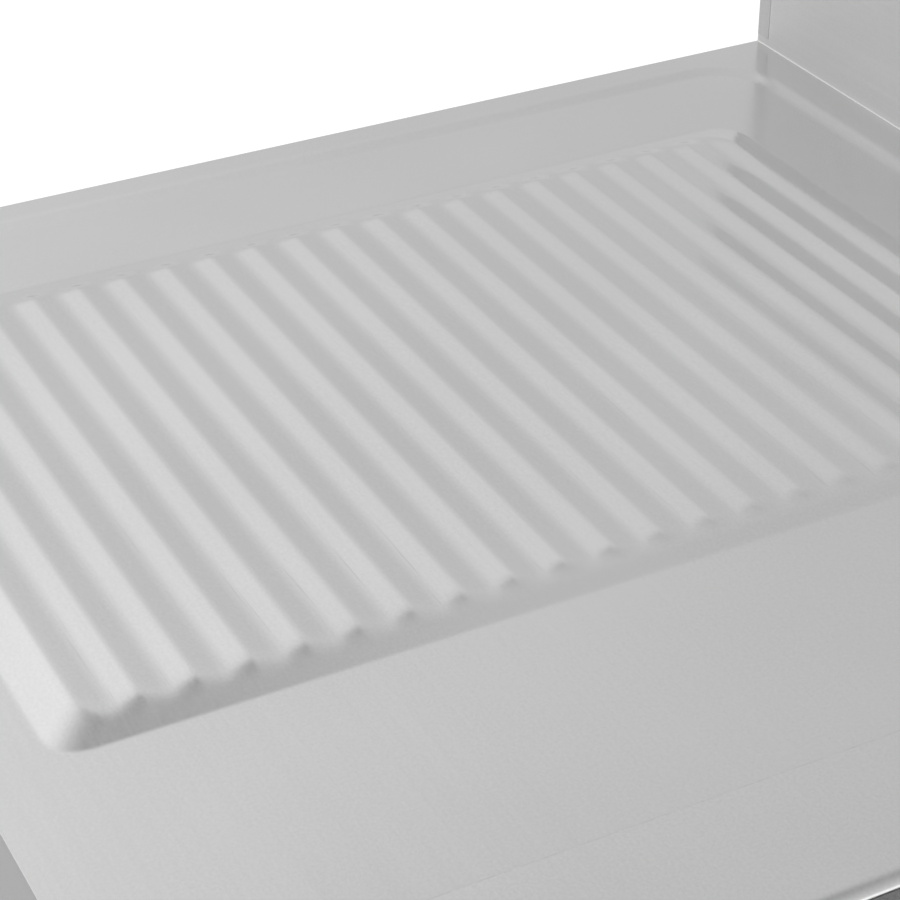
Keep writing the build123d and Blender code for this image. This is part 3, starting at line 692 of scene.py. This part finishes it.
def rounded_loop(box, by, corner, z):
    """A loop round a box grown by this much, with rounded corners and the same count for every loop."""
    x0, x1, y0, y1 = (box[0] - by, box[1] + by, box[2] - by, box[3] + by)
    hubs = [(x1 - corner, y0 + corner), (x1 - corner, y1 - corner)]
    hubs += [(x0 + corner, y1 - corner), (x0 + corner, y0 + corner)]
    arcs = []
    for n, (hub_x, hub_y) in enumerate(hubs):
        turns = np.radians(np.linspace(90 * n - 90, 90 * n, corner_points))
        arcs.append([(hub_x + corner * math.cos(t), hub_y + corner * math.sin(t), z) for t in turns])
    loop = []
    for n, arc in enumerate(arcs):
        end = Vector(arc[-1])
        following = Vector(arcs[(n + 1) % 4][0])
        loop += arc
        loop += [tuple(end.lerp(following, share)) for share in np.linspace(0, 1, side_points)[1:-1]]
    return loop


def bowl_loop(out, z):
    """A loop round the bowl, this far outside its walls."""
    return rounded_loop(bowl_box, out, bowl_corner + out, z)


def ring_faces(rings, around, closed=False):
    """Four-sided faces between neighbouring rings, and from the last ring to the first of a closed piece."""
    faces = []
    for n in range(rings if closed else rings - 1):
        a = n * around
        b = (n + 1) % rings * around
        faces += [(a + m, a + (m + 1) % around, b + (m + 1) % around, b + m) for m in range(around)]
    return faces


loops = [rounded_loop(flange_box, -weld_gap, flange_corner - weld_gap, floor_z - weld_dip)]
loops.append(rounded_loop(flange_box, -weld_run, flange_corner - weld_run, floor_z))
edge_out = lip_edge * (1 - math.sin(lip_turn))
edge_drop = lip_roll * (1 - math.cos(lip_turn))
for turn in np.linspace(0, lip_turn, lip_points)[:-1]:
    out = edge_out + lip_roll * (math.sin(lip_turn) - math.sin(turn))
    loops.append(bowl_loop(out, floor_z - lip_roll * (1 - math.cos(turn))))
for turn in np.linspace(lip_turn, math.pi / 2, lip_points):
    out = lip_edge * (1 - math.sin(turn))
    drop = edge_drop + lip_edge * (math.cos(lip_turn) - math.cos(turn))
    loops.append(bowl_loop(out, floor_z - drop))
loops += [bowl_loop(0.0, z) for z in wall_levels]
for turn in np.linspace(0, math.pi / 2, bottom_points):
    out = -bottom_radius * (1 - math.cos(turn))
    loops.append(bowl_loop(out, bowl_floor_z + bottom_radius * (1 - math.sin(turn))))
toward_waste = [math.atan2(y - waste_y, x - waste_x) for x, y, z in loops[-1]]
for radius, z in waste_recess:
    loops.append([(waste_x + radius * math.cos(t), waste_y + radius * math.sin(t), z) for t in toward_waste])
points = [p for loop in loops for p in loop]
bowl = metal_mesh("bowl_tub", points, ring_faces(len(loops), len(loops[0])), "unit")
thickened(bowl)
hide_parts("bowl")
bowl_steel = worked_steel(
    "bowl_steel", greys=(0.58, 0.615), sheen=(0.17, 0.22), bump=0.03, grain=grain_along,
)
bowl.data.materials.append(bowl_steel)

# Sound-deadening pad: a slab of bitumen felt, dark and dull, with a coarse pressed face.
# It is cut to size and stuck under the bowl's floor, so that falling water doesn't drum on it.
pad_edge = 0.6
moulded_depth = 0.0003
moulded_wear = (0.35, 0.7)


def moulded_group():
    """The fine detail of moulded and pressed stuff: a grain of a given fineness, and soft wear."""
    group = bpy.data.node_groups.new("moulded_stuff", "ShaderNodeTree")
    fineness = group.interface.new_socket("Fineness", in_out="INPUT", socket_type="NodeSocketFloat")
    fineness.default_value = 900.0
    for name in ("Grain", "Wear"):
        group.interface.new_socket(name, in_out="OUTPUT", socket_type="NodeSocketFloat")
    given = place(group, "NodeGroupInput", -900, 100)
    results = place(group, "NodeGroupOutput", 300, 0)
    where = spot(group, -900, -100)
    fine = given.outputs["Fineness"]
    grain = noise(group, -500, 150, where, scale=fine, detail=3.0, roughness=0.6)
    wear = noise(group, -500, -150, where, scale=34.0, detail=4.0, roughness=0.6)
    group.links.new(grain, results.inputs["Grain"])
    group.links.new(remap(group, -200, -150, wear, *moulded_wear), results.inputs["Wear"])
    return group


moulded_stuff = moulded_group()


def moulded(name, dark, light, sheen, bump, fineness):
    """A plastic, rubber or felt between two colours by wear, with a grain in its sheen and its surface."""
    material, tree, shader = new_material(name)
    detail = place(tree, "ShaderNodeGroup", -900, 0, node_tree=moulded_stuff)
    detail.inputs["Fineness"].default_value = fineness
    colour = mixed(tree, -400, 200, "tone", (*dark, 1.0), (*light, 1.0), detail.outputs["Wear"])
    tree.links.new(colour, shader.inputs["Base Color"])
    grain = detail.outputs["Grain"]
    add_surface(tree, shader, grain, sheen, grain, bump, moulded_depth)
    return material


sound_pad = moulded(
    "sound_pad", dark=(0.035, 0.034, 0.033), light=(0.075, 0.073, 0.07),
    sheen=(0.75, 0.95), bump=0.5, fineness=380.0,
)
dress(sound_pad, pad_edge, "bowl_sound_pad")

# Tap plate, channels and sockets: the frame under the worktop and the shelf, folded and cut from dull
# mill-finish steel. The channels are spot-welded to the sheets, and the sockets are welded to the channels.
frame_edge = 0.4
frame_steel = worked_steel("frame_steel", greys=(0.4, 0.52), sheen=(0.32, 0.46), bump=0.1, grain=grain_back)
dress(frame_steel, frame_edge, "tap_plate", "channel_left", "channel_middle", "channel_right")
dress(frame_steel, frame_edge, "shelf_channel")
corners = ("front_left", "front_right", "rear_left", "rear_right")
dress(frame_steel, frame_edge, *["leg_socket_" + corner for corner in corners])

# Set screws and shelf bolts: turned from bright bar, with hexagon sockets for a key.
# A set screw in each socket holds its leg, and the bolts hold the shelf to the legs.
screw_edge = 0.3
screw_grain = (900.0, 300.0, 300.0)
screw_steel = worked_steel(
    "screw_steel", greys=(0.48, 0.58), sheen=(0.2, 0.32), bump=0.08, grain=screw_grain,
)
dress(screw_steel, screw_edge, "leg_set_screws", "shelf_bolts")

# Legs: square stainless tube with rounded corners, polished along its length and cut square at both ends.
# Each one is pushed up into its socket under the worktop.
leg_steel = worked_steel("leg_steel", greys=(0.575, 0.615), sheen=(0.15, 0.22), bump=0.04, grain=grain_up)
dress(leg_steel, 0.0, *["leg_" + corner for corner in corners])

# Foot inserts: plugs of dark nylon, moulded with a threaded hole for a foot's stud.
# One is pushed into each leg's lower end.
insert_edge = 0.5
foot_plastic = moulded(
    "foot_plastic", dark=(0.028, 0.028, 0.03), light=(0.05, 0.05, 0.052),
    sheen=(0.4, 0.55), bump=0.12, fineness=1400.0,
)
dress(foot_plastic, insert_edge, *["foot_insert_" + corner for corner in corners])

# Feet: turned from stainless bar, with a rounded barrel, a hexagon for a spanner, and a threaded stud that
# screws up into the insert.
leg_x = 545.0
leg_y = 245.0
foot_around = 36
foot_barrel = ((5.0, 0.0), (14.0, 0.0), (18.0, 6.0), (18.0, 28.0), (12.0, 36.0), (10.2, 36.0))
foot_ease = 1.3
foot_grain = (60.0, 60.0, 1500.0)
hexagon_flat = 10.39
hexagon_rings = ((11.0, 36.0), (12.0, 36.7), (12.0, 45.3), (11.0, 46.0))
stud_root = 4.2
stud_crest = 4.95
stud_pitch = 1.5
stud_thread = (46.0, 83.0)
stud_end = ((stud_crest, 83.6), (stud_crest, 93.0), (3.95, 94.0))
thread_points = 6
ease_points = 4
ease_most = 0.45


def eased(outline, radius):
    """A (radius, height) outline with its corners rounded off."""
    rounded = [outline[0]]
    for before, corner, after in zip(outline, outline[1:], outline[2:]):
        corner = Vector(corner)
        back = Vector(before) - corner
        on = Vector(after) - corner
        first = corner + back.normalized() * min(radius, ease_most * back.length)
        last = corner + on.normalized() * min(radius, ease_most * on.length)
        for t in np.linspace(0, 1, ease_points):
            rounded.append(tuple(first * (1 - t) ** 2 + corner * 2 * t * (1 - t) + last * t * t))
    return rounded + [outline[-1]]


def turned_ring(middle, around, z, radius_at):
    """One ring of a turned piece, whose radius may change with the angle."""
    x, y = middle
    angles = [2 * math.pi * k / around for k in range(around)]
    return [(x + radius_at(a) * math.cos(a), y + radius_at(a) * math.sin(a), z) for a in angles]


def plain_rings(middle, around, outline):
    """Round rings through a (radius, height) outline."""
    return [turned_ring(middle, around, z, lambda angle, r=radius: r) for radius, z in outline]


def thread_rings(middle, around, root, crest, pitch, bottom, top):
    """Rings of a screw thread that climbs one pitch each turn and runs out at both ends."""
    rings = []
    for z in np.arange(bottom, top, pitch / thread_points):
        height = (crest - root) * min(1.0, (z - bottom) / pitch, (top - z) / pitch)

        def radius_at(angle, climb=z / pitch, height=height):
            """The thread's radius at an angle on this ring."""
            share = (climb - angle / (2 * math.pi)) % 1
            return root + height * (1 - abs(2 * share - 1))

        rings.append(turned_ring(middle, around, z, radius_at))
    return rings


def hexagon(flat, limit):
    """The radius of a hexagon across its angle, with its corners cut to a limit."""
    return lambda angle: min(limit, flat / math.cos(angle % (math.pi / 3) - math.pi / 6))


foot_steel = worked_steel("foot_steel", greys=(0.55, 0.62), sheen=(0.14, 0.26), bump=0.08, grain=foot_grain)
for corner in corners:
    middle = (-leg_x if "left" in corner else leg_x, -leg_y if "front" in corner else leg_y)
    rings = plain_rings(middle, foot_around, eased(foot_barrel, foot_ease))
    rings += [turned_ring(middle, foot_around, z, hexagon(hexagon_flat, limit)) for limit, z in hexagon_rings]
    rings += thread_rings(middle, foot_around, stud_root, stud_crest, stud_pitch, *stud_thread)
    rings += plain_rings(middle, foot_around, stud_end)
    points = [p for ring in rings for p in ring]
    faces = ring_faces(len(rings), foot_around)
    faces += [tuple(range(foot_around)), tuple(range(len(points) - foot_around, len(points)))]
    foot = metal_mesh("levelling_" + corner, points, faces, "foot_" + corner)
    foot.data.materials.append(foot_steel)
    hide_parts("foot_" + corner)

# Shelf: a tray folded from satin stainless sheet, with its corners notched round the legs.
# It is bolted to the legs through its walls.
shelf_edge = 0.7
shelf_steel = worked_steel(
    "shelf_steel", greys=(0.57, 0.61), sheen=(0.19, 0.26), bump=0.04, grain=grain_along,
)
dress(shelf_steel, shelf_edge, "shelf")

# Waste: a chromed brass body through the bowl's floor, with a strainer on its ledge. A rubber gasket seals
# it above the floor, and a plastic nut on its threaded tail draws it down on a rubber washer.
waste_around = 60
waste_edge = 0.5
waste_root = 23.2
waste_crest = 23.9
waste_pitch = 2.3
waste_thread = (624.5, 646.0)
waste_tail = ((18.0, 588.5), (waste_crest, 588.5), (waste_crest, 620.5))
waste_neck = ((waste_root, 620.5), (waste_root, 624.5))
waste_rim = ((waste_crest, 646.5), (46.5, 646.5), (46.5, 649.0), (22.0, 649.0))
waste_ledge = ((20.0, 640.0), (20.0, 637.0), (18.0, 637.0))
strainer_edge = 0.3
seal_edge = 0.4
nut_edge = 0.6
chrome_grain = (90.0, 90.0, 90.0)
waste_chrome = worked_steel(
    "waste_chrome", greys=(0.6, 0.66), sheen=(0.06, 0.13), bump=0.02, grain=chrome_grain,
)
rings = plain_rings(waste_middle, waste_around, eased(waste_tail + waste_neck, waste_edge))
rings += thread_rings(waste_middle, waste_around, waste_root, waste_crest, waste_pitch, *waste_thread)
rings += plain_rings(waste_middle, waste_around, eased(waste_rim + waste_ledge, waste_edge))
points = [p for ring in rings for p in ring]
waste = metal_mesh("waste_fitting", points, ring_faces(len(rings), waste_around, closed=True), "unit")
waste.data.materials.append(waste_chrome)
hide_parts("waste_body")
dress(waste_chrome, strainer_edge, "waste_strainer")
seal_rubber = moulded(
    "seal_rubber", dark=(0.022, 0.022, 0.023), light=(0.045, 0.045, 0.046),
    sheen=(0.55, 0.75), bump=0.15, fineness=1100.0,
)
nut_plastic = moulded(
    "nut_plastic", dark=(0.56, 0.56, 0.54), light=(0.66, 0.66, 0.64),
    sheen=(0.35, 0.5), bump=0.08, fineness=1300.0,
)
dress(seal_rubber, seal_edge, "waste_gasket", "waste_washer")
dress(nut_plastic, nut_edge, "waste_locknut")

# Standpipe: a polished steel tube in a rubber bung that plugs the waste, with a slotted plastic cap.
# It lifts out to empty the bowl, and lets an overfull bowl drain through the cap's slots.
tube_edge = 0.3
bung_edge = 0.8
pipe_cap_edge = 0.7
pipe_steel = worked_steel("pipe_steel", greys=(0.58, 0.64), sheen=(0.08, 0.16), bump=0.04, grain=grain_up)
cap_plastic = moulded(
    "cap_plastic", dark=(0.03, 0.03, 0.032), light=(0.055, 0.055, 0.058),
    sheen=(0.32, 0.46), bump=0.1, fineness=1500.0,
)
dress(pipe_steel, tube_edge, "standpipe_tube")
dress(seal_rubber, bung_edge, "standpipe_bung")
dress(cap_plastic, pipe_cap_edge, "standpipe_cap")

# Studio surround: a plain pale tent, a little dimmer overhead, with soft lamps round it and darker gaps
# between them. It is all the light there is on the object. Each row gives a swing from the left end
# towards the back and a rise, both in degrees, then a sharpness and a power.
tent_level = 0.828
tent_fall = -0.076
soft_lamps = (
    ("left", 1.2, 43.0, 28.1, 0.417),
    ("high left", -15.9, 50.0, 63.8, 0.217),
    ("left middle", 27.2, 37.0, 82.2, 0.071),
    ("front left", -50.0, 25.0, 6.0, 0.45),
    ("low left", 24.0, 9.0, 25.0, -0.04),
    ("left gap", 36.0, 23.0, 60.0, -0.015),
    ("gap", 19.0, 55.1, 113.1, -0.472),
    ("middle", 33.0, 54.5, 120.0, 0.03),
    ("high gap", 58.0, 64.6, 200.3, -0.15),
    ("ceiling", 73.0, 64.0, 45.0, -0.25),
    ("right gap", 97.0, 50.0, 60.0, -0.15),
    ("back right", 150.0, 28.0, 15.0, 0.9),
    ("front right", -130.0, 42.0, 8.0, 0.25),
)
world = bpy.data.worlds.new("soft_tent")
bpy.context.scene.world = world
world.use_nodes = True
tree = world.node_tree
background = tree.nodes["Background"]
background.inputs["Color"].default_value = grey(1.0)
direction = spot(tree, -1500, 0, "Generated")
level = arithmetic(tree, -1100, 0, "MULTIPLY", parts_of(tree, -1300, 0, direction)["Z"], tent_fall)
level = arithmetic(tree, -900, 0, "ADD", level, tent_level)
for n, (name, swing, rise, sharp, power) in enumerate(soft_lamps):
    swing = math.radians(swing)
    rise = math.radians(rise)
    row = -200 - 200 * n
    toward = place(tree, "ShaderNodeVectorMath", -1300, row, operation="DOT_PRODUCT", label=name)
    aim = (-math.cos(rise) * math.cos(swing), math.cos(rise) * math.sin(swing), math.sin(rise))
    toward.inputs[1].default_value = aim
    tree.links.new(direction, toward.inputs[0])
    off_aim = arithmetic(tree, -1100, row, "SUBTRACT", toward.outputs["Value"], 1.0)
    glow = arithmetic(tree, -900, row, "MULTIPLY", off_aim, sharp)
    glow = arithmetic(tree, -700, row, "EXPONENT", glow)
    glow = arithmetic(tree, -500, row, "MULTIPLY", glow, power)
    level = arithmetic(tree, -300, row, "ADD", level, glow)
tree.links.new(level, background.inputs["Strength"])

# Floor: a wide pale sheet that takes the unit's soft shadow. Its far side goes to white for what the
# camera and the metal see.
floor_radius = 40.0
floor_grey = 0.665
floor_dull = 0.9
white_from = (1.5, 2.3)
white_behind = (-1.7, -0.2)
white_glow = 0.45
mesh = bpy.data.meshes.new("floor")
shape = bmesh.new()
bmesh.ops.create_circle(shape, cap_ends=True, segments=96, radius=floor_radius)
shape.to_mesh(mesh)
shape.free()
floor = bpy.data.objects.new("floor", mesh)
bpy.context.scene.collection.objects.link(floor)
pale_floor, tree, shader = new_material("pale_floor")
shader.inputs["Base Color"].default_value = grey(floor_grey)
shader.inputs["Roughness"].default_value = floor_dull
shader.inputs["Specular IOR Level"].default_value = 0.0
shader.inputs["Emission Color"].default_value = grey(1.0)
ray = place(tree, "ShaderNodeLightPath", -900, -200).outputs
where = spot(tree, -1300, -500)
away = place(tree, "ShaderNodeVectorMath", -1100, -450, operation="LENGTH")
tree.links.new(where, away.inputs[0])
seen = arithmetic(tree, -700, -200, "MAXIMUM", ray["Is Camera Ray"], ray["Is Glossy Ray"])
seen = arithmetic(tree, -500, -200, "MAXIMUM", seen, ray["Is Transmission Ray"])
far_off = remap(tree, -900, -450, away.outputs["Value"], *white_from)
behind = parts_of(tree, -1100, -650, where)["Y"]
behind = remap(tree, -900, -700, behind, *white_behind, 0.0, white_glow)
backdrop = arithmetic(tree, -700, -550, "MULTIPLY", far_off, behind)
tree.links.new(arithmetic(tree, -300, -350, "MULTIPLY", seen, backdrop), shader.inputs["Emission Strength"])
floor.data.materials.append(pale_floor)

# Camera: close over the bowl's front corner, looking down along the drainer to its free end.
# Its place and its lens come from the photo's straight edges, for a unit 600 mm deep.
camera_place = (0.4610, -0.4602, 1.4422)
camera_ahead = (-0.7506, 0.39198, -0.53193)
camera_across = (0.46396, 0.88586, -0.00191)
camera = bpy.data.objects.new("camera", bpy.data.cameras.new("camera"))
bpy.context.scene.collection.objects.link(camera)
ahead = Vector(camera_ahead).normalized()
across = Vector(camera_across)
across = (across - ahead * across.dot(ahead)).normalized()
above = across.cross(ahead)
facing = Matrix((across, above, -ahead)).transposed()
camera.matrix_world = Matrix.Translation(camera_place) @ facing.to_4x4()
camera.data.lens = 100.26
camera.data.sensor_width = 36.0
camera.data.clip_start = 0.01
camera.data.clip_end = 200.0
bpy.context.scene.camera = camera
bpy.context.scene.view_settings.view_transform = "Standard"
